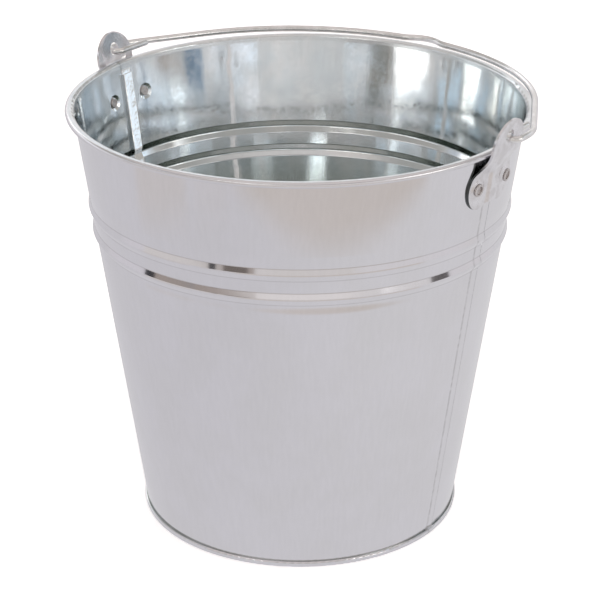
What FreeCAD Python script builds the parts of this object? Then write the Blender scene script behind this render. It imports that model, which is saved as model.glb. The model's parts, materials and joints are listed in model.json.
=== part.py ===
"""Galvanised 12 litre bucket: two seamed wall panels, a base, two riveted ears and a wire bail.

Millimetres. The origin is the centre of the foot, +Z is up, the ears are on +X and -X, and the
bail lies folded back on the rim at +Y. Sheet parts are drawn as thick polylines with rounded
corners in the radius-height plane and turned about the Z axis.
"""
import FreeCAD, Part
import math
import os
from FreeCAD import Vector

# ---- Wall ----
SHEET = 0.5                 # wall and base sheet
LAP = 0.07                  # air between two folded layers
LAYER = SHEET + LAP         # pitch of folded layers
RIM_PLANE = 270.2           # height of the rolled rim's centre
FOOT_RADIUS = 100.8         # wall outside, at the foot
TOP_RADIUS = 140.0          # wall outside, at the rim plane
TAPER = math.atan((TOP_RADIUS - FOOT_RADIUS) / RIM_PLANE)

# ---- Swaged beads round the wall, like low roofs: height above the foot and lean of the flanks ----
BEADS = [(193.9, math.radians(26.0)), (210.1, math.radians(21.0))]
BEAD_LENGTH = 8.1
BEAD_CROWN_BEND = 2.2
BEAD_FOOT_BEND = 1.2

# ---- Rolled rim and the wire inside it ----
RIM_RADIUS = 145.0          # outside of the roll
RIM_HALF_HEIGHT = 1.8
RIM_TUCK_GAP = 0.2          # between the roll's tucked edge and the wall
RIM_WIRE_GAP = 0.05

# ---- Base and the double seam that holds it ----
FLOOR_HEIGHT = 7.0          # middle of the floor's outer band
FLOOR_STEP_RADIUS = 78.0
FLOOR_STEP_WIDTH = 4.0
FLOOR_STEP_HEIGHT = 1.5
FLOOR_BEND = 1.6
STEP_BEND = 3.0
FOOT_BEND = 0.7
CHIME_HEIGHT = 3.7
CHIME_BEND = 0.5
BODY_HOOK_BEND = 0.4
BODY_HOOK_TOP = 2.9
COVER_HOOK_BOTTOM = 1.35

# ---- Lock seams, one under each ear: angles round the Z axis, in degrees ----
SEAM_ANGLE = 3.2
FOLD_ANGLE = 0.24
SEAM_GAP_ANGLE = 0.08
GROOVE_ANGLE = 0.14
SEAM_BOTTOM = 8.2
SEAM_TOP = RIM_PLANE - 6.0

# ---- Ears ----
EAR_SHEET = 1.5
EAR_WALL_GAP = 0.06
EAR_STAND_OFF = 7.2         # how far the tongue stands outside the line of the wall
EAR_BEND_START = -15.0      # heights here are measured from the rim plane
EAR_BEND_END = 2.0
TONGUE_RADIUS = 16.8
TONGUE_CENTRE = 2.9
LOBE_HALF_LENGTH = 13.4     # oval lobes whose tops lean outwards
LOBE_HALF_WIDTH = 10.7
LOBE_LEAN = math.radians(10.5)
LOBE_OFFSET = 12.3
LOBE_CENTRE = -22.9
NECK_FILLET = 8.0
CHANNEL_HEIGHT = 2.0        # raised channel over the lock seam
CHANNEL_FLAT = 3.2
CHANNEL_FOOT = 6.4
CHANNEL_BOTTOM = -33.2
CHANNEL_FADE_START = -14.0
CHANNEL_FADE_END = 1.0
DISH_DEPTH = 1.0            # dished seat round the bail hole
DISH_RADIUS = 13.0
HOLE_RADIUS = 4.1
HOLE_CENTRE = 9.0
GRID_STEP = 1.25            # spacing of the points that carry the ear's pressed surface

# ---- Rivets, each in a dimple pressed outwards through wall and ear ----
RIVET_ANGLE = 6.6           # either side of the ear's middle
RIVET_CENTRE = -21.7
DIMPLE_DEPTH = 0.9          # of the wall; the ear's is a little deeper and wider
DIMPLE_FLOOR = 3.6
DIMPLE_MOUTH = 5.4
DIMPLE_BEND = 0.4
PLUG_SINK = 0.1             # how far the plug that shapes a dimple is sunk in the sheet
EAR_DIMPLE_DEPTH = 1.0
EAR_DIMPLE_FLOOR = 3.9
EAR_DIMPLE_MOUTH = 7.0
SHANK_RADIUS = 2.1
SHANK_GAP = 0.08
HEAD_GAP = 0.02
OUTER_HEAD = (4.0, 1.1)     # radius, thickness
OUTER_RECESS = (2.6, 0.9)   # radius, depth
INNER_HEAD = (3.1, 0.7)
INNER_RECESS = (2.2, 0.2)
HEAD_ROUND = 0.4
RECESS_ROUND = 0.15

# ---- Bail ----
WIRE_RADIUS = 2.1
HINGE_HEIGHT = RIM_PLANE + 7.3
REST_GAP = 0.2              # between the resting bail and the rim
BAIL_RADIUS = 144.5
LEG_ANGLE = math.radians(28.5)
LEG_OFFSET = 154.2          # outer strand, beside the ear
LEG_STRAIGHT = 9.0          # how far the outer strand runs before it leans in
HOOK_OFFSET = 144.5         # inner strand of the hook
HOOK_END = 29.0
HUMP_HEIGHT = 4.6
HUMP_BEND = 19.0
END_CHAMFER = 0.35

ORIGIN = Vector(0, 0, 0)
Z_AXIS = Vector(0, 0, 1)
X_AXIS = Vector(1, 0, 0)
TINY = 1e-6


def rounded_edges(points, radii):
    """Edges of an open polyline whose inner corners have the given radii."""
    edges = []
    start = points[0]
    for before, corner, after, radius in zip(points, points[1:], points[2:], radii):
        back = (before - corner).normalize()
        ahead = (after - corner).normalize()
        half_angle = back.getAngle(ahead) / 2
        centre = corner + (back + ahead).normalize() * (radius / math.sin(half_angle))
        first = corner + back * (radius / math.tan(half_angle))
        last = corner + ahead * (radius / math.tan(half_angle))
        middle = centre + (corner - centre).normalize() * radius
        if (first - start).Length > TINY:
            edges.append(Part.makeLine(start, first))
        edges.append(Part.Arc(first, middle, last).toShape())
        start = last
    if (points[-1] - start).Length > TINY:
        edges.append(Part.makeLine(start, points[-1]))
    return edges


def shifted_edges(points, radii, shift):
    """The rounded polyline moved sideways, positive to the left, in the radius-height plane."""
    ways = [(end - start).normalize() for start, end in zip(points, points[1:])]
    sides = [Vector(-way.z, 0, way.x) for way in ways]
    moved = [points[0] + sides[0] * shift]
    new_radii = []
    for corner, radius, side, next_side, way in zip(points[1:], radii, sides, sides[1:], ways):
        moved.append(corner + (side + next_side) * (shift / (1 + side.dot(next_side))))
        turns_left = way.dot(next_side) < 0
        new_radii.append(radius - shift if turns_left else radius + shift)
    moved.append(points[-1] + sides[-1] * shift)
    return rounded_edges(moved, new_radii)


def band(points, radii, low, high):
    """Face between two sideways shifts of a rounded polyline: the cut edge of a bent sheet."""
    right = Part.Wire(shifted_edges(points, radii, low))
    left = Part.Wire(shifted_edges(points, radii, high))
    right_ends = (right.OrderedVertexes[0].Point, right.OrderedVertexes[-1].Point)
    left_ends = (left.OrderedVertexes[0].Point, left.OrderedVertexes[-1].Point)
    caps = [Part.makeLine(start, end) for start, end in zip(right_ends, left_ends)]
    return Part.Face(Part.Wire(Part.__sortEdges__(right.Edges + left.Edges + caps)))


def turned(face, start_angle, end_angle):
    """Solid swept by a face of the radius-height plane between two angles round Z."""
    placed = face.copy()
    placed.rotate(ORIGIN, Z_AXIS, start_angle)
    return placed.revolve(ORIGIN, Z_AXIS, end_angle - start_angle)


def joined(solids):
    """One solid from touching solids."""
    return solids[0].fuse(solids[1:]).removeSplitter()


def wall_point(height, layer=0.0):
    """Point on the wall's mid-surface, or that many layers outside it, at a height."""
    radius = FOOT_RADIUS - SHEET / 2 / math.cos(TAPER) + height * math.tan(TAPER)
    return Vector(radius + layer * LAYER / math.cos(TAPER), 0, height)


def bead_corners(height, lean):
    """Corners of one bead: foot, crown and foot."""
    up = Vector(math.sin(TAPER), 0, math.cos(TAPER))
    outward = Vector(math.cos(TAPER), 0, -math.sin(TAPER))
    centre = wall_point(height)
    foot = up * (BEAD_LENGTH / 2)
    crown = outward * (BEAD_LENGTH / 2 * math.tan(lean))
    return [centre - foot, centre + crown, centre + foot]


def beaded_wall():
    """Corners and radii of the two beads, from the lower one up."""
    corners = []
    radii = []
    for height, lean in BEADS:
        corners += bead_corners(height, lean)
        radii += [BEAD_FOOT_BEND, BEAD_CROWN_BEND, BEAD_FOOT_BEND]
    return corners, radii


def wall_profile():
    """Full section of the wall: foot hook, beads and the roll round the rim wire."""
    hook_line = SHEET / 2 + LAYER
    roll = RIM_HALF_HEIGHT - SHEET / 2
    roll_radius = RIM_RADIUS - SHEET / 2
    roll_top = RIM_PLANE + roll
    roll_bottom = RIM_PLANE - roll
    tuck = wall_point(roll_bottom).x + SHEET / 2 + RIM_TUCK_GAP
    beads, bead_bends = beaded_wall()
    points = [wall_point(BODY_HOOK_TOP, 2), wall_point(hook_line, 2), wall_point(hook_line)]
    points += beads
    points += [wall_point(roll_top), Vector(roll_radius, 0, roll_top)]
    points += [Vector(roll_radius, 0, roll_bottom), Vector(tuck, 0, roll_bottom)]
    radii = [BODY_HOOK_BEND] * 2 + bead_bends + [roll] * 3
    return band(points, radii, -SHEET / 2, SHEET / 2)


def seam_profile(first_layer, last_layer):
    """Section of the wall between the floor and the rim, from one inner layer to another."""
    beads, bends = beaded_wall()
    points = [wall_point(SEAM_BOTTOM)] + beads + [wall_point(SEAM_TOP)]
    return band(points, bends, first_layer * LAYER - SHEET / 2, last_layer * LAYER + SHEET / 2)


def rivet_axis(side):
    """Point on the wall's mid-surface and the outward direction of a rivet of the +X ear."""
    placed = FreeCAD.Rotation(Z_AXIS, side * RIVET_ANGLE)
    point = placed.multVec(wall_point(RIM_PLANE + RIVET_CENTRE))
    outward = placed.multVec(Vector(math.cos(TAPER), 0, -math.sin(TAPER)))
    return point, outward


def rivet_hole(side):
    """Cutter for the hole through wall and ear at one rivet of the +X ear."""
    point, outward = rivet_axis(side)
    reach = 4 * EAR_SHEET
    return Part.makeCylinder(SHANK_RADIUS + SHANK_GAP, 2 * reach, point - outward * reach, outward)


def dimpled(panel, side):
    """Wall panel with the dimple of one rivet of the +X ear pressed outwards in it."""
    point, outward = rivet_axis(side)
    spread = (DIMPLE_MOUTH - DIMPLE_FLOOR) / DIMPLE_DEPTH
    lean = math.atan(spread)
    shift = SHEET / 2 * math.tan((math.pi / 2 - lean) / 2)

    def plug(layer, bottom, bend):
        top = DIMPLE_DEPTH + layer * SHEET / 2
        top_radius = DIMPLE_FLOOR + layer * shift
        bottom_radius = top_radius + (top - bottom) * spread
        base = point + outward * bottom
        cone = Part.makeCone(bottom_radius, top_radius, top - bottom, base, outward)
        rim = [edge for edge in cone.Edges if abs(edge.Length - 2 * math.pi * top_radius) < TINY]
        return cone.makeFillet(bend, rim)

    raised = panel.fuse(plug(1, -PLUG_SINK, DIMPLE_BEND + SHEET))
    return raised.cut(plug(-1, -DIMPLE_DEPTH, DIMPLE_BEND)).removeSplitter()


def rear_panel():
    """Half of the wall, from the seam at +X round +Y to the seam at -X.

    The start edge is joggled inwards and folded outwards, the end edge is folded inwards, so the
    two panels hook into each other: four layers deep, flush outside and raised inside.
    """
    half = SEAM_ANGLE / 2
    start = half + GROOVE_ANGLE
    end = 180 + half
    solids = [
        turned(wall_profile(), start, end),
        turned(seam_profile(0, 3), start, start + FOLD_ANGLE),
        turned(seam_profile(3, 3), -half, start),
        turned(seam_profile(1, 3), -half, -half + FOLD_ANGLE),
        turned(seam_profile(1, 1), -half + FOLD_ANGLE, half - FOLD_ANGLE - SEAM_GAP_ANGLE),
        turned(seam_profile(0, 2), end - FOLD_ANGLE, end),
        turned(seam_profile(2, 2), end - SEAM_ANGLE + FOLD_ANGLE + SEAM_GAP_ANGLE, end - FOLD_ANGLE),
    ]
    near_end = dimpled(joined(solids), 1).cut(rivet_hole(1))
    far_end = dimpled(half_turned(near_end), -1).cut(rivet_hole(-1))
    return half_turned(far_end)


def half_turned(shape):
    """Copy of a shape on the other side of the bucket."""
    copy = shape.copy()
    copy.rotate(ORIGIN, Z_AXIS, 180)
    return copy


def rim_wire():
    """Round wire that the rim is rolled about."""
    roll = RIM_HALF_HEIGHT - SHEET / 2
    ring_radius = RIM_RADIUS - SHEET / 2 - roll
    wire_radius = roll - SHEET / 2 - RIM_WIRE_GAP
    return Part.makeTorus(ring_radius, wire_radius, Vector(0, 0, RIM_PLANE), Z_AXIS)


def base_disc():
    """Recessed floor whose skirt runs down inside the wall and folds up round the wall's hook."""
    floor_top = FLOOR_HEIGHT + FLOOR_STEP_HEIGHT
    chime_top = CHIME_HEIGHT - SHEET / 2
    points = [
        Vector(0, 0, floor_top),
        Vector(FLOOR_STEP_RADIUS, 0, floor_top),
        Vector(FLOOR_STEP_RADIUS + FLOOR_STEP_WIDTH, 0, FLOOR_HEIGHT),
        wall_point(FLOOR_HEIGHT, -1),
        wall_point(SHEET / 2, -1),
        wall_point(SHEET / 2, 3),
        wall_point(chime_top, 3),
        wall_point(chime_top, 1),
        wall_point(COVER_HOOK_BOTTOM, 1),
    ]
    radii = [STEP_BEND, STEP_BEND, FLOOR_BEND, FOOT_BEND, FOOT_BEND, CHIME_BEND, CHIME_BEND]
    face = band(points, radii, -SHEET / 2, SHEET / 2)
    return face.revolve(ORIGIN, Z_AXIS, 360)


def smooth_step(value, start, end):
    """0 at start, 1 at end, with level ends."""
    share = min(max((value - start) / (end - start), 0.0), 1.0)
    return share * share * (3 - 2 * share)


def ear_inner_x(across, height):
    """Distance of the ear's inner face from the Z axis plane, at a point of its front view."""
    stand_off = EAR_STAND_OFF * smooth_step(height, EAR_BEND_START, EAR_BEND_END)
    wall = TOP_RADIUS + height * math.tan(TAPER)
    radius = wall + EAR_WALL_GAP + stand_off
    channel = CHANNEL_HEIGHT * smooth_step(abs(across), CHANNEL_FOOT, CHANNEL_FLAT)
    channel *= smooth_step(height, CHANNEL_FADE_END, CHANNEL_FADE_START)
    from_hole = min(math.hypot(across, height - HOLE_CENTRE) / DISH_RADIUS, 1.0)
    dish = DISH_DEPTH * (1 - from_hole ** 2) ** 2
    rivet_across = rivet_axis(1)[0].y
    from_rivet = math.hypot(abs(across) - rivet_across, (height - RIVET_CENTRE) / math.cos(TAPER))
    dimple = EAR_DIMPLE_DEPTH * smooth_step(from_rivet, EAR_DIMPLE_MOUTH, EAR_DIMPLE_FLOOR)
    return math.sqrt(radius ** 2 - across ** 2) + channel - dish + dimple


def ear_sheet():
    """Pressed sheet that the ear is cut from."""
    margin = 2 * GRID_STEP
    width = LOBE_OFFSET + LOBE_HALF_LENGTH + margin
    bottom = LOBE_CENTRE - LOBE_HALF_LENGTH - margin
    top = TONGUE_CENTRE + TONGUE_RADIUS + margin
    columns = round(2 * width / GRID_STEP)
    rows = round((top - bottom) / GRID_STEP)
    grid = []
    for column in range(columns + 1):
        across = -width + 2 * width * column / columns
        heights = [bottom + (top - bottom) * row / rows for row in range(rows + 1)]
        grid.append([Vector(ear_inner_x(across, z), across, RIM_PLANE + z) for z in heights])
    surface = Part.BSplineSurface()
    surface.interpolate(grid)
    return surface.toShape().extrude(X_AXIS * EAR_SHEET)


def ear_outline():
    """Block whose front view is the ear: a round tongue over two oval lobes."""
    near = FOOT_RADIUS
    depth = 2 * (TOP_RADIUS - FOOT_RADIUS)

    def disc(across, height, radius):
        return Part.makeCylinder(radius, depth, Vector(near, across, RIM_PLANE + height), X_AXIS)

    def lobe(side):
        centre = Vector(near, side * LOBE_OFFSET, RIM_PLANE + LOBE_CENTRE)
        down = Vector(0, -side * math.sin(LOBE_LEAN), -math.cos(LOBE_LEAN))
        out = Vector(0, side * math.cos(LOBE_LEAN), -math.sin(LOBE_LEAN))
        end = centre + down * LOBE_HALF_LENGTH
        oval = Part.Ellipse(end, centre + out * LOBE_HALF_WIDTH, centre)
        return Part.Face(Part.Wire(oval.toShape())).extrude(X_AXIS * depth)

    tongue = disc(0, TONGUE_CENTRE, TONGUE_RADIUS)
    lobes = [lobe(side) for side in (-1, 1)]
    corner = Vector(near, -CHANNEL_FOOT, RIM_PLANE + CHANNEL_BOTTOM)
    channel = Part.makeBox(depth, 2 * CHANNEL_FOOT, -CHANNEL_BOTTOM, corner)
    block = joined([tongue, channel] + lobes)
    necks = [edge for edge in block.Edges if is_neck(edge)]
    return block.makeFillet(NECK_FILLET, necks).cut(disc(0, HOLE_CENTRE, HOLE_RADIUS))


def is_neck(edge):
    """True for the two inward corners between the tongue and the lobes."""
    first, last = (vertex.Point for vertex in (edge.Vertexes[0], edge.Vertexes[-1]))
    runs_out = abs(first.x - last.x) > TINY and abs(first.z - last.z) < TINY
    return runs_out and abs(first.y) > CHANNEL_FOOT and first.z > RIM_PLANE + LOBE_CENTRE


def ear():
    """Stamped ear at +X, with its rivet holes."""
    blank = ear_sheet().common(ear_outline())
    return blank.cut([rivet_hole(-1), rivet_hole(1)]).Solids[0]


def head_corners(inward, height, head, recess):
    """Half section of one rivet head, from the shank out, round the rim and into the recess."""
    radius, thickness = head
    recess_radius, recess_depth = recess
    top = height + inward * thickness
    floor = top - inward * recess_depth
    return [
        Vector(SHANK_RADIUS, 0, height),
        Vector(radius, 0, height),
        Vector(radius, 0, top),
        Vector(recess_radius, 0, top),
        Vector(recess_radius, 0, floor),
        Vector(0, 0, floor),
    ]


def rivet(side):
    """Set rivet with a cupped head outside the ear and a dished head inside the wall."""
    outer_seat = SHEET / 2 + EAR_WALL_GAP + EAR_SHEET + EAR_DIMPLE_DEPTH + HEAD_GAP
    inner_seat = DIMPLE_DEPTH - SHEET / 2 - HEAD_GAP
    bends = [HEAD_ROUND / 2, HEAD_ROUND, RECESS_ROUND, RECESS_ROUND]
    outer = rounded_edges(head_corners(1, outer_seat, OUTER_HEAD, OUTER_RECESS), bends)
    inner = rounded_edges(head_corners(-1, inner_seat, INNER_HEAD, INNER_RECESS), bends)
    shank = Part.makeLine(Vector(SHANK_RADIUS, 0, inner_seat), Vector(SHANK_RADIUS, 0, outer_seat))
    outer_floor = Vector(0, 0, outer_seat + OUTER_HEAD[1] - OUTER_RECESS[1])
    inner_floor = Vector(0, 0, inner_seat - INNER_HEAD[1] + INNER_RECESS[1])
    spine = Part.makeLine(inner_floor, outer_floor)
    outline = Part.Wire(Part.__sortEdges__(outer + inner + [shank, spine]))
    solid = Part.Face(outline).revolve(ORIGIN, Z_AXIS, 360)
    point, outward = rivet_axis(side)
    solid.Placement = FreeCAD.Placement(point, FreeCAD.Rotation(Z_AXIS, outward))
    return solid


def bail_half_path():
    """Centre line of the +X half of the bail in its own plane: x across, y away from the hinge."""
    crown = BAIL_RADIUS + HUMP_HEIGHT
    dip = crown - HUMP_BEND
    cosine = ((BAIL_RADIUS + HUMP_BEND) ** 2 - 4 * HUMP_BEND ** 2 - dip ** 2) / (4 * HUMP_BEND * dip)
    hump_lean = math.acos(cosine)
    crown_centre = Vector(0, dip, 0)
    foot_centre = crown_centre + Vector(math.sin(hump_lean), cosine, 0) * (2 * HUMP_BEND)
    foot_angle = math.atan2(foot_centre.y, foot_centre.x)
    foot_ray = Vector(math.cos(foot_angle), math.sin(foot_angle), 0)

    hook_bend = (LEG_OFFSET - HOOK_OFFSET) / 2
    cosine = math.cos(LEG_ANGLE)
    sine = math.sin(LEG_ANGLE)
    leg_bend = (BAIL_RADIUS - LEG_OFFSET * cosine - LEG_STRAIGHT * sine) / (1 - cosine)
    leg_centre = Vector(LEG_OFFSET - leg_bend, LEG_STRAIGHT, 0)
    leg_ray = Vector(cosine, sine, 0)
    leg_top = leg_centre + leg_ray * leg_bend
    arc_end = leg_ray * BAIL_RADIUS
    hook_centre = Vector((LEG_OFFSET + HOOK_OFFSET) / 2, hook_bend, 0)

    def ray(angle):
        return Vector(math.cos(angle), math.sin(angle), 0)

    def arc(centre, radius, start, end):
        middle = (start + end) / 2
        spots = [centre + ray(angle) * radius for angle in (start, middle, end)]
        return Part.Arc(*spots).toShape()

    up = math.pi / 2
    return [
        arc(crown_centre, HUMP_BEND, up, up - hump_lean),
        arc(foot_centre, HUMP_BEND, -up - hump_lean, foot_angle - math.pi),
        arc(ORIGIN, BAIL_RADIUS, foot_angle, LEG_ANGLE),
        Part.makeLine(arc_end, leg_top),
        arc(leg_centre, leg_bend, LEG_ANGLE, 0),
        Part.makeLine(Vector(LEG_OFFSET, LEG_STRAIGHT, 0), Vector(LEG_OFFSET, hook_bend, 0)),
        arc(hook_centre, hook_bend, 0, -math.pi),
        Part.makeLine(Vector(HOOK_OFFSET, hook_bend, 0), Vector(HOOK_OFFSET, HOOK_END, 0)),
    ]


def bail():
    """Bent wire handle, folded back so that it rests on the rim at +Y."""
    right = bail_half_path()
    left = [edge.mirror(ORIGIN, X_AXIS) for edge in right]
    path = Part.Wire(Part.__sortEdges__(right + left))
    end = Vector(HOOK_OFFSET, HOOK_END, 0)
    section = Part.Wire(Part.makeCircle(WIRE_RADIUS, end, Vector(0, 1, 0)))
    wire = path.makePipeShell([section], True, True)
    ends = [edge for edge in wire.Edges if is_cut_end(edge)]
    wire = wire.makeChamfer(END_CHAMFER, ends)
    drop = HINGE_HEIGHT - (RIM_PLANE + RIM_HALF_HEIGHT + REST_GAP + WIRE_RADIUS)
    wire.rotate(ORIGIN, X_AXIS, -math.degrees(math.asin(drop / BAIL_RADIUS)))
    wire.translate(Vector(0, 0, HINGE_HEIGHT))
    return wire


def is_cut_end(edge):
    """True for the round edge at a cut end of the bail wire."""
    if not isinstance(edge.Curve, Part.Circle) or abs(edge.Curve.Radius - WIRE_RADIUS) > TINY:
        return False
    return abs(edge.BoundBox.YMax - HOOK_END) < TINY and edge.BoundBox.YLength < TINY


def main():
    """Write one STEP file per piece."""
    os.makedirs("parts", exist_ok=True)
    panel = rear_panel()
    right_ear = ear()
    pieces = {
        "body_panel_front": half_turned(panel),
        "body_panel_rear": panel,
        "rim_wire": rim_wire(),
        "base_disc": base_disc(),
        "ear_right": right_ear,
        "ear_left": half_turned(right_ear),
        "rivet_right_front": rivet(-1),
        "rivet_right_rear": rivet(1),
        "rivet_left_front": half_turned(rivet(1)),
        "rivet_left_rear": half_turned(rivet(-1)),
        "bail": bail(),
    }
    for name, shape in pieces.items():
        shape.exportStep(f"parts/{name}.step")
        box = shape.BoundBox
        print(name, shape.isValid(), len(shape.Solids), round(shape.Volume, 1),
              [round(v, 1) for v in (box.XMin, box.XMax, box.YMin, box.YMax, box.ZMin, box.ZMax)])


main()
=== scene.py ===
"""Looks of the galvanised bucket: zinc sheet, stamped ears, set rivets, drawn wire and a white studio.

Metres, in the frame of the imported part: +Z up, the foot at the origin, the ears on +X and -X.
Azimuths and elevations are in degrees, with azimuth 0 towards -Y and 90 towards +X.
"""
import json
import math

import bpy
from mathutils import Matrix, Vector


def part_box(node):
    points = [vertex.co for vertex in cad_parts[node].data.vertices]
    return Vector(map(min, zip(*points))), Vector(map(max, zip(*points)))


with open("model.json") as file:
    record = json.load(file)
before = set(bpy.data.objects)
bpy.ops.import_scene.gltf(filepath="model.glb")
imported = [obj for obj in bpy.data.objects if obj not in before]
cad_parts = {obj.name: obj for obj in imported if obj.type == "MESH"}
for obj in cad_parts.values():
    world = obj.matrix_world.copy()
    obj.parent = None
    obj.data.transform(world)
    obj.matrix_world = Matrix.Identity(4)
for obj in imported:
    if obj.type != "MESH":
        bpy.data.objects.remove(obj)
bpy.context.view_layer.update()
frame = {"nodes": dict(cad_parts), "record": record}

# ---- Camera ----
CAMERA_AZIMUTH = 35.0
CAMERA_ELEVATION = 23.68
CAMERA_DISTANCE = 1.43
CAMERA_TARGET_HEIGHT = 0.1375
CAMERA_LENS = 133.55

# ---- Places on the bucket. A pair gives the start and the end of a change ----
RIM_HEIGHT = sum(corner.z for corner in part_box("rim_wire")) / 2       # middle of the rolled rim
HINGE_HEIGHT = frame["record"]["behaviour"]["joints"][0]["pos_m"][2]
ROLL_TURN = (RIM_HEIGHT - 0.0027, RIM_HEIGHT - 0.0012)
EAR_EDGE_SHADE_TURN = (RIM_HEIGHT - 0.0042, RIM_HEIGHT - 0.0102)      # painted shade on the ears' cut edges, going down
BEAD_HEIGHTS = (RIM_HEIGHT - 0.0763, RIM_HEIGHT - 0.0601)
BEAD_HALF_LENGTH = 0.0040               # from a bead's middle to its foot
BEAD_DRAW_IN = 0.00052                  # how far the sheet looks drawn in at each bead
BEAD_DRAW_REACH = (0.012, 0.004)
DEEP_SHADE_TURN = (BEAD_HEIGHTS[0] - 0.0059, BEAD_HEIGHTS[0] - 0.0439)       # painted shade inside, going down
CREASE_SHADE_WIDTH = 0.0006                   # of the painted shade along a bead's foot crease, to each side
SEAM_EDGES = (0.0046, 0.0034)           # half width of the lock seam's raised strip inside
SEAM_ENDS = (RIM_HEIGHT - 0.0027, RIM_HEIGHT - 0.0037)          # the strip stops below the roll
SEAM_HAMMER = 0.00036                   # depth of the strip's hammer marks
SEAM_LEAN = 0.42                        # how far the pressed strip looks up
SEAM_SHADOW = -0.0047                   # Y of the painted shadow line along the strip
SEAM_SHADOW_EDGES = (0.0007, 0.0001)
GROOVE_SLOPE = math.tan(math.radians(1.67))     # where the lock seam's groove runs outside
GROOVE_EDGES = (0.0016, 0.0002)
EAR_DISH_SLOPE = 0.24                   # of the inner face, out from the hole
EAR_DISH_RADIUS = 0.012
WIRE_SOFTEN = 0.0012                    # evens out the facets of the thin bail

# ---- Faces: cosine between a face's normal and the way straight out from the bucket's axis ----
INSIDE_TURN = (0.2, -0.1)
EAR_EDGE_TURN = (0.65, 0.45)
EAR_INNER_TURN = (0.3, -0.3)

# ---- Metal colours ----
ZINC_OUTSIDE = ((0.80, 0.79, 0.81), (0.82, 0.81, 0.84))
ZINC_INSIDE = ((0.80, 0.84, 0.86), (0.87, 0.885, 0.89))
ZINC_CRYSTAL = (0.62, 0.65, 0.66)
# Painted shade: darker, greener zinc deep inside towards the base
ZINC_DEEP_SHADE = (0.61, 0.645, 0.62)
ZINC_GRAIN = (0.62, 0.61, 0.63)
ZINC_FLECK = (0.70, 0.70, 0.72)
# Painted shade in the creases at the beads' feet
CREASE_SHADE = (0.40, 0.38, 0.38)
# Painted highlight: the seam's raised strip inside is whitened to stand for the light its rounded ridge
# catches
SEAM_PAINTED_HIGHLIGHT = (1.0, 1.0, 1.0)
SEAM_SHADOW_COLOUR = (0.25, 0.27, 0.27)
# Painted shade along the lock seam's groove outside
GROOVE_SHADE = (0.30, 0.29, 0.28)
EAR_COLOURS = ((0.72, 0.70, 0.71), (0.84, 0.83, 0.85))
# Painted shade on the ears' low cut edges
EAR_EDGE_SHADE = (0.10, 0.11, 0.11)
RIVET_COLOURS = ((0.50, 0.46, 0.45), (0.72, 0.69, 0.68))
WIRE_COLOURS = ((0.80, 0.79, 0.78), (0.90, 0.89, 0.89))

# Start and end of a soft change that takes up most of a noise pattern
PATTERN_TURN = (0.35, 0.65)

# ---- Metal finish: depth of the bumps, and the roughness at a pattern's 0 and 1 ----
SHEET_BUMP = 0.0004
EAR_BUMP = 0.00015
RIVET_BUMP = 0.0002
WIRE_BUMP = 0.00001
SHEET_ROUGHNESS_OUTSIDE = (0.06, 0.12)
SHEET_ROUGHNESS_INSIDE = (0.065, 0.115)
ROLL_ROUGHNESS = 0.24
SEAM_ROUGHNESS = 0.16
EAR_ROUGHNESS = (0.14, 0.34)
RIVET_ROUGHNESS = (0.25, 0.55)
WIRE_ROUGHNESS = (0.12, 0.32)
UPRIGHT_SMEAR = 0.7                     # inside, from the sheet's rolling grain
GRAIN_STRETCH = (1.0, 1.0, 0.03)

# ---- Studio: what the metal sees. The camera itself sees a white floor and white surroundings ----
FLOOR_RADIUS = 1.8
FLOOR_STEPS = 96
FLOOR_WHITE = 1.95
FLOOR_LEFT = (0.650, 0.640, 0.665)      # at the camera's left
FLOOR_RIGHT = (0.705, 0.697, 0.710)
FLOOR_TURN = (-0.3, 0.3)                # from left to right
FLOOR_WARM = (0.630, 0.583, 0.550)
# Warm patches of the floor, each beyond an arc whose centre is behind the bucket:
# azimuth, half width, distance of the centre, start and end of the change, strength
WARM_PATCHES = [
    (50.0, 47.0, 0.6, 0.99, 1.05, 1.0),
    (-35.0, 15.0, 0.3, 0.72, 0.80, 0.55),
    (-7.0, 8.0, 0.3, 0.72, 0.80, 0.25),
]
WARM_SOFTNESS = 3.0                     # of a patch's sides
ROOM_HORIZON = (0.70, 0.67, 0.655)
ROOM_LOW = (0.80, 0.765, 0.75)
ROOM_MIDDLE = (0.39, 0.38, 0.36)
ROOM_HIGH = (0.70, 0.65, 0.635)         # overhead
# Elevations over which each layer of the room gives way to the next
ROOM_LAYERS = [
    (7.0, 9.0, ROOM_LOW),
    (21.0, 25.0, ROOM_MIDDLE),
    (38.0, 50.0, ROOM_HIGH),
]
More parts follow.
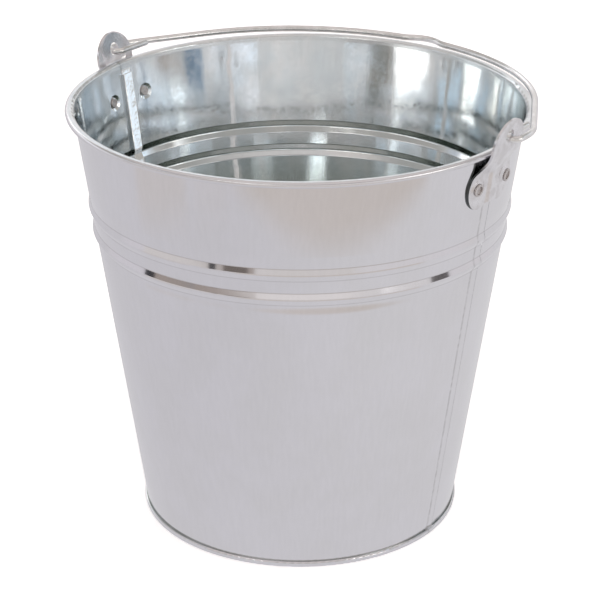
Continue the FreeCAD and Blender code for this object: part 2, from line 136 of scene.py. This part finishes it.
# Cards and gaps of the room: azimuth, elevation, half width, half height, softness, colour
CARDS = [
    (-125.0, -2.0, 72.0, 9.0, 1.5, (0.69, 0.67, 0.70)),
    (118.0, 0.0, 54.0, 7.0, 2.0, (0.72, 0.70, 0.715)),
    (-21.0, 5.8, 33.0, 5.1, 0.8, (0.38, 0.33, 0.30)),
    (-51.0, 2.5, 3.5, 3.0, 0.8, (0.04, 0.04, 0.045)),
    (-10.5, 1.2, 2.0, 2.0, 0.6, (0.04, 0.04, 0.045)),
    (2.0, 1.5, 6.5, 2.5, 0.8, (0.17, 0.145, 0.13)),
    (97.0, 13.0, 17.0, 4.8, 3.5, (3.60, 3.52, 3.42)),
    (87.0, 6.0, 25.0, 4.6, 1.0, (0.72, 0.70, 0.70)),
    (114.0, 3.5, 6.0, 3.0, 1.0, (0.12, 0.11, 0.11)),
    (131.0, 12.0, 11.0, 4.5, 3.5, (0.25, 0.22, 0.18)),
    (-32.0, 11.0, 9.0, 2.5, 2.0, (0.10, 0.19, 0.30)),
    (-65.0, 17.7, 35.0, 3.1, 2.0, (1.35, 1.40, 1.50)),
    (-98.0, 20.8, 6.0, 1.6, 1.0, (2.90, 2.90, 2.95)),
    (-62.0, 19.0, 5.0, 4.0, 2.0, (0.50, 0.55, 0.62)),
    (-118.0, 22.5, 28.0, 3.5, 2.5, (1.20, 1.25, 1.32)),
    (-124.0, 24.0, 9.0, 4.0, 3.0, (2.20, 2.20, 2.20)),
    (-160.0, 22.5, 18.0, 2.5, 3.0, (1.20, 1.22, 1.26)),
    (146.0, 19.2, 22.0, 3.0, 2.0, (0.96, 1.12, 1.26)),
    (105.0, 17.2, 9.0, 3.0, 2.0, (2.20, 2.08, 1.88)),
    (99.0, 25.5, 16.0, 4.0, 2.0, (1.25, 1.24, 1.22)),
    (14.0, 34.2, 11.0, 2.0, 1.2, (1.25, 1.23, 1.20)),
    (5.0, 28.7, 13.0, 1.6, 1.5, (4.20, 4.20, 4.12)),
]

# ---- Light paths: a reflection inside the wall bounces many times before it leaves ----
MAX_BOUNCES = 16
GLOSSY_BOUNCES = 12

# Sockets of the Mix node, which has a set for each kind of value
MIX_SHARE = 0
MIX_FLOATS = (2, 3)
MIX_COLOURS = (6, 7)


def node(tree, kind, inputs=None, **settings):
    """New node with its settings and inputs; an input given as a socket is linked."""
    made = tree.nodes.new(kind)
    for name, value in settings.items():
        setattr(made, name, value)
    for name, value in (inputs or {}).items():
        if isinstance(value, bpy.types.NodeSocket):
            tree.links.new(value, made.inputs[name])
        else:
            made.inputs[name].default_value = value
    return made


def maths(tree, operation, *values):
    """Output of a Math node."""
    return node(tree, "ShaderNodeMath", dict(enumerate(values)), operation=operation).outputs[0]


def vector_maths(tree, operation, *vectors):
    """Output of a Vector Math node: a number for a product or distance, otherwise a vector."""
    made = node(tree, "ShaderNodeVectorMath", dict(enumerate(vectors)), operation=operation)
    return made.outputs["Value" if operation in ("DOT_PRODUCT", "DISTANCE") else "Vector"]


def smooth(tree, value, start, end):
    """0 where the value is at start and 1 where it is at end, with a smooth change between."""
    inputs = {"Value": value, "From Min": start, "From Max": end}
    ramp = node(tree, "ShaderNodeMapRange", inputs, interpolation_type="SMOOTHSTEP")
    return ramp.outputs["Result"]


def ranged(tree, pattern, low, high):
    """Value that goes from low to high as the pattern goes from 0 to 1."""
    return maths(tree, "MULTIPLY_ADD", pattern, high - low, low)


def distance(tree, value, centre):
    """How far a value is from a centre."""
    return maths(tree, "ABSOLUTE", maths(tree, "SUBTRACT", value, centre))


def mixed(tree, share, first, second):
    """First value where the share is 0 and second where it is 1."""
    values = dict(zip(MIX_FLOATS, (first, second)))
    return node(tree, "ShaderNodeMix", {MIX_SHARE: share, **values}).outputs[0]


def blend(tree, share, first, second):
    """First colour where the share is 0 and second where it is 1."""
    colours = {}
    for socket, colour in zip(MIX_COLOURS, (first, second)):
        linked = isinstance(colour, bpy.types.NodeSocket)
        colours[socket] = colour if linked else (*colour, 1.0)
    return node(tree, "ShaderNodeMix", {MIX_SHARE: share, **colours}, data_type="RGBA").outputs[2]


def tint(tree, colour, tone, mask, strength):
    """The colour, taken some way towards a tone where the mask is 1."""
    return blend(tree, maths(tree, "MULTIPLY", mask, strength), colour, tone)


def noise(tree, vector, scale, detail, roughness):
    """Grey noise from about 0.3 to 0.7."""
    inputs = {"Vector": vector, "Scale": scale, "Detail": detail, "Roughness": roughness}
    return node(tree, "ShaderNodeTexNoise", inputs).outputs["Fac"]


def new_material(name):
    """Empty node material and its tree."""
    material = bpy.data.materials.new(name)
    material.use_nodes = True
    material.node_tree.nodes.clear()
    return material, material.node_tree


def object_place(tree):
    """Position in the piece's own frame, which moves with it."""
    return node(tree, "ShaderNodeTexCoord").outputs["Object"]


def separated(tree, vector):
    """X, Y and Z of a vector."""
    return node(tree, "ShaderNodeSeparateXYZ", {0: vector}).outputs


def upright(tree, length):
    """Vector along +Z."""
    return node(tree, "ShaderNodeCombineXYZ", {2: length}).outputs[0]


def level_direction(tree, vector):
    """Horizontal direction of a vector, one unit long."""
    return vector_maths(tree, "NORMALIZE", vector_maths(tree, "MULTIPLY", vector, (1.0, 1.0, 0.0)))


def outward_facing(tree, place):
    """1 on faces that look straight away from the bucket's axis and -1 on faces that look at it."""
    normal = node(tree, "ShaderNodeNewGeometry").outputs["True Normal"]
    return vector_maths(tree, "DOT_PRODUCT", normal, level_direction(tree, place))


def leaned_back(tree, mask, lean):
    """Surface normal that looks further up by the lean where the mask is 1."""
    normal = node(tree, "ShaderNodeNewGeometry").outputs["Normal"]
    up = upright(tree, maths(tree, "MULTIPLY", mask, lean))
    return vector_maths(tree, "NORMALIZE", vector_maths(tree, "ADD", normal, up))


def finish_metal(tree, colour, roughness, height, bump_height, upright_smear=0.0, normal=None):
    """Metal surface from its colour, roughness and height field.

    The smear stretches reflections upright, and a normal replaces the mesh's own under the bumps.
    """
    inputs = {"Height": height, "Distance": bump_height}
    if normal:
        inputs["Normal"] = normal
    bump = node(tree, "ShaderNodeBump", inputs).outputs[0]
    surface = node(tree, "ShaderNodeBsdfPrincipled", {
        "Base Color": colour,
        "Metallic": 1.0,
        "Roughness": roughness,
        "Anisotropic": upright_smear,
        "Tangent": upright(tree, 1.0),
        "Normal": bump,
    })
    node(tree, "ShaderNodeOutputMaterial", {"Surface": surface.outputs[0]})


def crease_shade_mask(tree, z):
    """1 on the painted shade along the fine creases at the feet of the two beads."""
    total = 0.0
    for height in BEAD_HEIGHTS:
        off_foot = distance(tree, distance(tree, z, height), BEAD_HALF_LENGTH)
        total = maths(tree, "ADD", smooth(tree, off_foot, CREASE_SHADE_WIDTH, 0.0), total)
    return total


def seam_masks(tree, place, inside):
    """1 on the lock seam's strip inside, on the painted shadow line along it, and in its groove outside.
    """
    x, y, z = separated(tree, place)
    across = maths(tree, "ABSOLUTE", y)
    strip = maths(tree, "MULTIPLY", smooth(tree, across, *SEAM_EDGES), inside)
    strip = maths(tree, "MULTIPLY", strip, smooth(tree, z, *SEAM_ENDS))
    line = smooth(tree, distance(tree, y, SEAM_SHADOW), *SEAM_SHADOW_EDGES)
    off_groove = maths(tree, "ABSOLUTE", maths(tree, "MULTIPLY_ADD", x, GROOVE_SLOPE, y))
    groove = maths(tree, "SUBTRACT", smooth(tree, off_groove, *GROOVE_EDGES), inside)
    return strip, maths(tree, "MULTIPLY", line, inside), maths(tree, "MAXIMUM", groove, 0.0)


def zinc(tree, z, inside, cloud, crystal):
    """Colour of clean zinc: even outside; inside cloudy and crystalline, with painted shade darkening it
    towards the base.
    """
    outer = blend(tree, smooth(tree, cloud, *PATTERN_TURN), *ZINC_OUTSIDE)
    inner = blend(tree, smooth(tree, cloud, 0.40, 0.60), *ZINC_INSIDE)
    inner = tint(tree, inner, ZINC_CRYSTAL, crystal, strength=0.12)
    # Painted shade deep inside, towards the base
    inner = blend(tree, smooth(tree, z, *DEEP_SHADE_TURN), inner, ZINC_DEEP_SHADE)
    return blend(tree, inside, outer, inner)


def sheet_height(tree, place, inside, fleck, grain, strip):
    """Height field of the sheet: waves, grain, flecks, the pull of each bead, the seam's marks."""
    wave = noise(tree, place, scale=22.0, detail=2.0, roughness=0.45)
    height = maths(tree, "MULTIPLY", wave, ranged(tree, inside, 0.35, 1.25))
    height = maths(tree, "MULTIPLY_ADD", grain, ranged(tree, inside, 0.010, 0.028), height)
    height = maths(tree, "MULTIPLY_ADD", fleck, ranged(tree, inside, 0.005, 0.013), height)
    outside = maths(tree, "SUBTRACT", 1.0, inside)
    z = separated(tree, place)[2]
    for bead in BEAD_HEIGHTS:
        pull = smooth(tree, distance(tree, z, bead), *BEAD_DRAW_REACH)
        pull = maths(tree, "MULTIPLY", pull, outside)
        height = maths(tree, "MULTIPLY_ADD", pull, -BEAD_DRAW_IN / SHEET_BUMP, height)
    hammered = noise(tree, place, scale=140.0, detail=2.0, roughness=0.5)
    marks = maths(tree, "MULTIPLY", hammered, strip)
    return maths(tree, "MULTIPLY_ADD", marks, SEAM_HAMMER / SHEET_BUMP, height)


def galvanised_sheet():
    """Bright zinc sheet with an upright rolling grain, creased beads and lock seams; its colour also
    carries painted shade at the bead creases, deep inside and along the seam's groove, a painted highlight
    on the seam's strip and a painted shadow line beside it.
    """
    material, tree = new_material("galvanised_sheet")
    place = object_place(tree)
    z = separated(tree, place)[2]
    inside = smooth(tree, outward_facing(tree, place), *INSIDE_TURN)
    strip, line, groove = seam_masks(tree, place, inside)
    cloud = noise(tree, place, scale=26.0, detail=4.0, roughness=0.55)
    fleck = noise(tree, place, scale=320.0, detail=3.0, roughness=0.6)
    rolled = vector_maths(tree, "MULTIPLY", place, GRAIN_STRETCH)
    grain = noise(tree, rolled, scale=500.0, detail=3.0, roughness=0.6)
    spangle = node(tree, "ShaderNodeTexVoronoi", {"Vector": place, "Scale": 420.0})
    crystal = node(tree, "ShaderNodeSeparateColor", {0: spangle.outputs["Color"]}).outputs[0]

    colour = zinc(tree, z, inside, cloud, crystal)
    colour = tint(tree, colour, ZINC_GRAIN, smooth(tree, grain, *PATTERN_TURN), strength=0.07)
    colour = tint(tree, colour, ZINC_FLECK, smooth(tree, fleck, 0.30, 0.70), strength=0.05)
    # Painted shade along the creases at the beads' feet
    colour = tint(tree, colour, CREASE_SHADE, crease_shade_mask(tree, z), strength=0.35)
    # Painted highlight on the lock seam's strip inside
    colour = blend(tree, strip, colour, SEAM_PAINTED_HIGHLIGHT)
    # Painted shadow line along the strip's edge
    colour = tint(tree, colour, SEAM_SHADOW_COLOUR, line, strength=0.30)
    # Painted shade along the lock seam's groove outside, broken up by the flecks
    groove_shade = maths(tree, "MULTIPLY", groove, smooth(tree, fleck, 0.25, 0.60))
    colour = tint(tree, colour, GROOVE_SHADE, groove_shade, strength=0.40)

    rough_outer = ranged(tree, cloud, *SHEET_ROUGHNESS_OUTSIDE)
    rough_inner = ranged(tree, crystal, *SHEET_ROUGHNESS_INSIDE)
    roughness = mixed(tree, inside, rough_outer, rough_inner)
    roughness = mixed(tree, smooth(tree, z, *ROLL_TURN), roughness, ROLL_ROUGHNESS)
    roughness = mixed(tree, strip, roughness, SEAM_ROUGHNESS)

    height = sheet_height(tree, place, inside, fleck, grain, strip)
    smear = maths(tree, "MULTIPLY", inside, UPRIGHT_SMEAR)
    finish_metal(tree, colour, roughness, height, SHEET_BUMP, smear, leaned_back(tree, strip, SEAM_LEAN))
    return material


def ear_steel():
    """Stamped and dipped steel: satin, softly blotched, with painted shade on its low cut edges, dished
    inside.
    """
    material, tree = new_material("ear_steel")
    place = object_place(tree)
    y, z = separated(tree, place)[1:]
    cloud = noise(tree, place, scale=120.0, detail=4.0, roughness=0.6)
    fleck = noise(tree, place, scale=900.0, detail=3.0, roughness=0.6)
    facing = outward_facing(tree, place)
    colour = blend(tree, smooth(tree, cloud, *PATTERN_TURN), *EAR_COLOURS)
    # Painted shade on the low cut edges, where the ears stand off the wall
    low = smooth(tree, z, *EAR_EDGE_SHADE_TURN)
    edge = maths(tree, "MULTIPLY", smooth(tree, facing, *EAR_EDGE_TURN), low)
    colour = blend(tree, edge, colour, EAR_EDGE_SHADE)

    height = maths(tree, "MULTIPLY_ADD", fleck, 0.10, cloud)
    up = maths(tree, "SUBTRACT", z, HINGE_HEIGHT)
    off_hole = maths(tree, "SQRT", maths(tree, "MULTIPLY_ADD", up, up, maths(tree, "MULTIPLY", y, y)))
    dish = maths(tree, "MINIMUM", off_hole, EAR_DISH_RADIUS)
    dish = maths(tree, "MULTIPLY", dish, smooth(tree, facing, *EAR_INNER_TURN))
    height = maths(tree, "MULTIPLY_ADD", dish, EAR_DISH_SLOPE / EAR_BUMP, height)
    finish_metal(tree, colour, ranged(tree, cloud, *EAR_ROUGHNESS), height, EAR_BUMP)
    return material


def rivet_steel():
    """Set rivet heads: duller, warmer and mottled."""
    material, tree = new_material("rivet_steel")
    fleck = noise(tree, object_place(tree), scale=700.0, detail=4.0, roughness=0.65)
    colour = blend(tree, smooth(tree, fleck, *PATTERN_TURN), *RIVET_COLOURS)
    finish_metal(tree, colour, ranged(tree, fleck, *RIVET_ROUGHNESS), fleck, RIVET_BUMP)
    return material


def drawn_wire():
    """Galvanised drawn wire, semi-bright with soft blotches."""
    material, tree = new_material("drawn_wire")
    place = object_place(tree)
    cloud = noise(tree, place, scale=90.0, detail=4.0, roughness=0.6)
    fleck = noise(tree, place, scale=1500.0, detail=2.0, roughness=0.6)
    colour = blend(tree, smooth(tree, cloud, *PATTERN_TURN), *WIRE_COLOURS)
    height = maths(tree, "MULTIPLY_ADD", fleck, 0.05, cloud)
    even = node(tree, "ShaderNodeBevel", {"Radius": WIRE_SOFTEN}, samples=6).outputs[0]
    finish_metal(tree, colour, ranged(tree, cloud, *WIRE_ROUGHNESS), height, WIRE_BUMP, normal=even)
    return material


def dress_nodes():
    """Give every CAD node the finish of its material slot."""
    finishes = {
        "galvanised_sheet": galvanised_sheet(),
        "ear_steel": ear_steel(),
        "rivet_steel": rivet_steel(),
        "drawn_wire": drawn_wire(),
    }
    for part in frame["record"]["subparts"]:
        piece = frame["nodes"][part["node"]]
        slot = part["material_slot"]
        piece.data.materials.clear()
        piece.data.materials.append(finishes[slot])
    # Mirrored in the rim and the inside wall, the bail would draw a jagged dark line
    frame["nodes"]["bail"].visible_glossy = False


def warm_patch(tree, place, azimuth, half_width, behind, start, end, strength):
    """Share of the warm tone at a place on the floor."""
    turn = math.radians(azimuth)
    front = (math.sin(turn), -math.cos(turn), 0.0)
    centre = tuple(-value * behind for value in front)
    away = vector_maths(tree, "DISTANCE", place, centre)
    ahead = vector_maths(tree, "DOT_PRODUCT", vector_maths(tree, "NORMALIZE", place), front)
    edge_out = math.cos(math.radians(half_width + WARM_SOFTNESS))
    edge_in = math.cos(math.radians(half_width - WARM_SOFTNESS))
    share = maths(tree, "MULTIPLY", smooth(tree, away, start, end), smooth(tree, ahead, edge_out, edge_in))
    return maths(tree, "MULTIPLY", share, strength)


def floor_material():
    """White floor for the camera; the metal sees its true, greyer tone, warmer further away."""
    material, tree = new_material("floor")
    place = object_place(tree)
    camera_turn = math.radians(CAMERA_AZIMUTH)
    right = (math.cos(camera_turn), math.sin(camera_turn), 0.0)
    across = vector_maths(tree, "DOT_PRODUCT", place, right)
    seen = blend(tree, smooth(tree, across, *FLOOR_TURN), FLOOR_LEFT, FLOOR_RIGHT)
    for patch in WARM_PATCHES:
        seen = blend(tree, warm_patch(tree, place, *patch), seen, FLOOR_WARM)
    glow = node(tree, "ShaderNodeEmission", {"Color": seen})
    white = node(tree, "ShaderNodeBsdfDiffuse", {"Color": (FLOOR_WHITE, FLOOR_WHITE, FLOOR_WHITE, 1.0)})
    eye = node(tree, "ShaderNodeLightPath").outputs["Is Camera Ray"]
    mix = node(tree, "ShaderNodeMixShader", {0: eye, 1: glow.outputs[0], 2: white.outputs[0]})
    node(tree, "ShaderNodeOutputMaterial", {"Surface": mix.outputs[0]})
    return material


def floor():
    """Round floor under the foot."""
    mesh = bpy.data.meshes.new("floor")
    turns = [2 * math.pi * step / FLOOR_STEPS for step in range(FLOOR_STEPS)]
    edge = [(FLOOR_RADIUS * math.cos(turn), FLOOR_RADIUS * math.sin(turn), 0.0) for turn in turns]
    mesh.from_pydata(edge, [], [range(FLOOR_STEPS)])
    mesh.materials.append(floor_material())
    piece = bpy.data.objects.new("floor", mesh)
    bpy.context.scene.collection.objects.link(piece)


def card_mask(tree, side, lift, card):
    """1 where a ray's horizontal direction and elevation meet a card of the studio."""
    azimuth, elevation, half_width, half_height, soft = card
    turn = math.radians(azimuth)
    across = vector_maths(tree, "DOT_PRODUCT", side, (math.sin(turn), -math.cos(turn), 0.0))
    off_axis = maths(tree, "ARCCOSINE", across)
    off_level = distance(tree, lift, math.radians(elevation))
    masks = []
    for value, half in ((off_axis, half_width), (off_level, half_height)):
        masks.append(smooth(tree, value, math.radians(half + soft), math.radians(half - soft)))
    return maths(tree, "MULTIPLY", *masks)


def studio():
    """White surroundings for the camera; the metal sees a soft room with cards and gaps."""
    world = bpy.data.worlds.new("studio")
    world.use_nodes = True
    tree = world.node_tree
    tree.nodes.clear()
    ray = node(tree, "ShaderNodeTexCoord").outputs["Generated"]
    side = level_direction(tree, ray)
    lift = maths(tree, "ARCSINE", separated(tree, ray)[2])
    room = ROOM_HORIZON
    for start, end, colour in ROOM_LAYERS:
        room = blend(tree, smooth(tree, lift, math.radians(start), math.radians(end)), room, colour)
    for *card, colour in CARDS:
        room = blend(tree, card_mask(tree, side, lift, card), room, colour)
    seen = node(tree, "ShaderNodeBackground", {"Color": room})
    white = node(tree, "ShaderNodeBackground", {"Color": (1.0, 1.0, 1.0, 1.0)})
    eye = node(tree, "ShaderNodeLightPath").outputs["Is Camera Ray"]
    mix = node(tree, "ShaderNodeMixShader", {0: eye, 1: seen.outputs[0], 2: white.outputs[0]})
    node(tree, "ShaderNodeOutputWorld", {"Surface": mix.outputs[0]})
    bpy.context.scene.world = world


def camera():
    """Camera that looks at the bucket's axis."""
    azimuth = math.radians(CAMERA_AZIMUTH)
    elevation = math.radians(CAMERA_ELEVATION)
    back = Vector((math.sin(azimuth) * math.cos(elevation),
                   -math.cos(azimuth) * math.cos(elevation),
                   math.sin(elevation)))
    data = bpy.data.cameras.new("camera")
    data.lens = CAMERA_LENS
    piece = bpy.data.objects.new("camera", data)
    piece.location = Vector((0, 0, CAMERA_TARGET_HEIGHT)) + back * CAMERA_DISTANCE
    piece.rotation_mode = "QUATERNION"
    piece.rotation_quaternion = (-back).to_track_quat("-Z", "Y")
    bpy.context.scene.collection.objects.link(piece)
    bpy.context.scene.camera = piece


dress_nodes()
floor()
studio()
camera()

scene = bpy.context.scene
scene.view_settings.view_transform = "Standard"
scene.cycles.max_bounces = MAX_BOUNCES
scene.cycles.glossy_bounces = GLOSSY_BOUNCES
